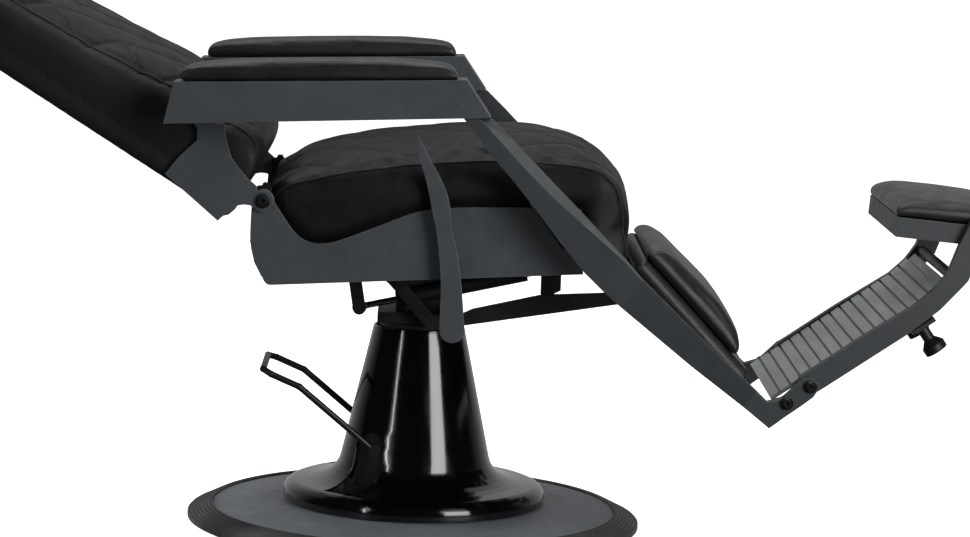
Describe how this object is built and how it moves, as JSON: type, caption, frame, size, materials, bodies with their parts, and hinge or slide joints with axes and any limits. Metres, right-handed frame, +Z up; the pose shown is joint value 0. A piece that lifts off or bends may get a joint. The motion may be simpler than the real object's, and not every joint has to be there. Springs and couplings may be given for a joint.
{
  "type": "barber chair",
  "caption": "Reclining barber chair on a round pedestal base, with quilted cushions, linked armrests and a folding footrest, shown laid back.",
  "frame": {"origin": "on the floor, in the middle of the round base", "axes": "+Z up, +X the way the sitter faces, -Y the sitter's right-hand side"},
  "size_m": [1.8403, 0.7, 0.9417],
  "materials": {
    "leatherette": "soft grain, satin",
    "black_rubber": "matt",
    "disc_paint": "satin",
    "slate_paint": "satin",
    "gloss_cover": "high gloss",
    "black_steel": "satin",
    "bright_steel": "polished",
    "black_board": "covered in black",
    "ribbed_aluminium": "satin"
  },
  "bodies": {
    "base": {"base_disc": "disc_paint", "rim_ring": "black_rubber", "pedestal_cover": "gloss_cover", "pump_cylinder": "black_steel", "pump_bolts": "black_steel", "gland_nut": "black_steel", "pedal_brackets": "black_steel"},
    "pedal": {"pump_pedal": "black_steel"},
    "column": {"lifting_column": "bright_steel"},
    "seat": {"swivel_plate": "black_steel", "seat_riser": "black_steel", "seat_rail_right": "black_steel", "seat_rail_left": "black_steel", "seat_cross_members": "black_steel", "seat_board": "black_board", "seat_cushion": "leatherette", "side_panel_right": "slate_paint", "side_panel_left": "slate_paint", "rear_cover": "slate_paint", "leg_hinge_brackets": "black_steel", "back_hinge_bolts": "black_steel", "hinge_blocks": "black_steel", "crank_hangers": "black_steel", "lock_front_bracket": "black_steel"},
    "lever": {"lever_shaft": "black_steel", "recline_lever": "slate_paint"},
    "crank": {"recline_crank": "black_steel"},
    "link": {"drag_link": "black_steel"},
    "lock": {"lock_cylinder": "black_steel"},
    "rod": {"lock_rod": "bright_steel"},
    "back": {"back_board": "black_board", "back_cushion": "leatherette", "back_bracket_right": "slate_paint", "back_bracket_left": "slate_paint", "headrest_guide": "black_steel"},
    "headrest": {"headrest_post": "bright_steel", "headrest_board": "black_board", "headrest_cushion": "leatherette"},
    "arm_right": {"arm_channel_right": "slate_paint", "arm_pad_right": "leatherette", "arm_pins_right": "black_steel"},
    "arm_left": {"arm_channel_left": "slate_paint", "arm_pad_left": "leatherette", "arm_pins_left": "black_steel"},
    "legs": {"leg_beam_right": "slate_paint", "leg_beam_left": "slate_paint", "leg_hinge_pins": "black_steel", "leg_cross_tubes": "black_steel", "calf_board": "black_board", "calf_cushion_lower": "leatherette", "calf_cushion_upper": "leatherette", "foot_bolts": "black_steel"},
    "footrest": {"foot_frame_right": "slate_paint", "foot_frame_left": "slate_paint", "foot_cross_bars": "black_steel", "foot_plate": "ribbed_aluminium", "heel_box": "slate_paint", "heel_cushion": "leatherette", "foot_bumpers": "black_rubber"}
  },
  "joints": [
    {"name": "lift", "type": "slide", "parent": "base", "child": "column", "axis": [0, 0, 1], "range_m": [0, 0.15]},
    {"name": "swivel", "type": "hinge", "parent": "column", "child": "seat", "pos_m": [0, 0, 0.34], "axis": [0, 0, 1], "continuous": true},
    {"name": "pedal_press", "type": "hinge", "parent": "base", "child": "pedal", "pos_m": [-0.062, 0, 0.134], "axis": [0, -1, 0], "range_deg": [0, 22], "stiffness_Nm_per_rad": 6, "springref_deg": -17.19},
    {"name": "recline", "type": "hinge", "parent": "seat", "child": "back", "pos_m": [-0.235, 0, 0.529], "axis": [0, 1, 0], "range_deg": [0, 32]},
    {"name": "headrest_height", "type": "slide", "parent": "back", "child": "headrest", "axis": [-0.8526, 0, 0.5225], "range_m": [0, 0.09]},
    {"name": "arm_right_level", "type": "hinge", "parent": "back", "child": "arm_right", "pos_m": [-0.349, 0, 0.67], "axis": [0, 1, 0], "range_deg": [-32, 0]},
    {"name": "arm_left_level", "type": "hinge", "parent": "back", "child": "arm_left", "pos_m": [-0.349, 0, 0.67], "axis": [0, 1, 0], "range_deg": [-32, 0]},
    {"name": "legs_swing", "type": "hinge", "parent": "seat", "child": "legs", "pos_m": [0.172, 0, 0.545], "axis": [0, 1, 0], "range_deg": [0, 32]},
    {"name": "footrest_fold", "type": "hinge", "parent": "legs", "child": "footrest", "pos_m": [0.5866, 0, 0.2733], "axis": [0, -1, 0], "range_deg": [0, 60]},
    {"name": "link_swing", "type": "hinge", "parent": "legs", "child": "link", "pos_m": [0.3, 0, 0.424], "axis": [0, 1, 0], "range_deg": [-32, 0]},
    {"name": "crank_swing", "type": "hinge", "parent": "seat", "child": "crank", "pos_m": [-0.11, 0, 0.457], "axis": [0, 1, 0], "range_deg": [0, 32]},
    {"name": "lock_swing", "type": "hinge", "parent": "seat", "child": "lock", "pos_m": [0.196, 0, 0.42], "axis": [0, 1, 0], "range_deg": [0, 2.85]},
    {"name": "lock_rod_slide", "type": "slide", "parent": "lock", "child": "rod", "axis": [-0.9732, 0, -0.2298], "range_m": [0, 0.05669]},
    {"name": "lever_pull", "type": "hinge", "parent": "seat", "child": "lever", "pos_m": [0.049, 0, 0.3555], "axis": [0, -1, 0], "range_deg": [0, 12], "stiffness_Nm_per_rad": 12, "springref_deg": -14.32}
  ],
  "couplings": [
    {"joint": "arm_right_level", "follows": "recline", "ratio": -1},
    {"joint": "arm_left_level", "follows": "recline", "ratio": -1},
    {"joint": "legs_swing", "follows": "recline", "ratio": 1},
    {"joint": "link_swing", "follows": "recline", "ratio": -1},
    {"joint": "crank_swing", "follows": "recline", "ratio": 1},
    {"joint": "lock_swing", "follows": "recline", "ratio": 0.089},
    {"joint": "lock_rod_slide", "follows": "recline", "m_per_rad": 0.1015}
  ]
}
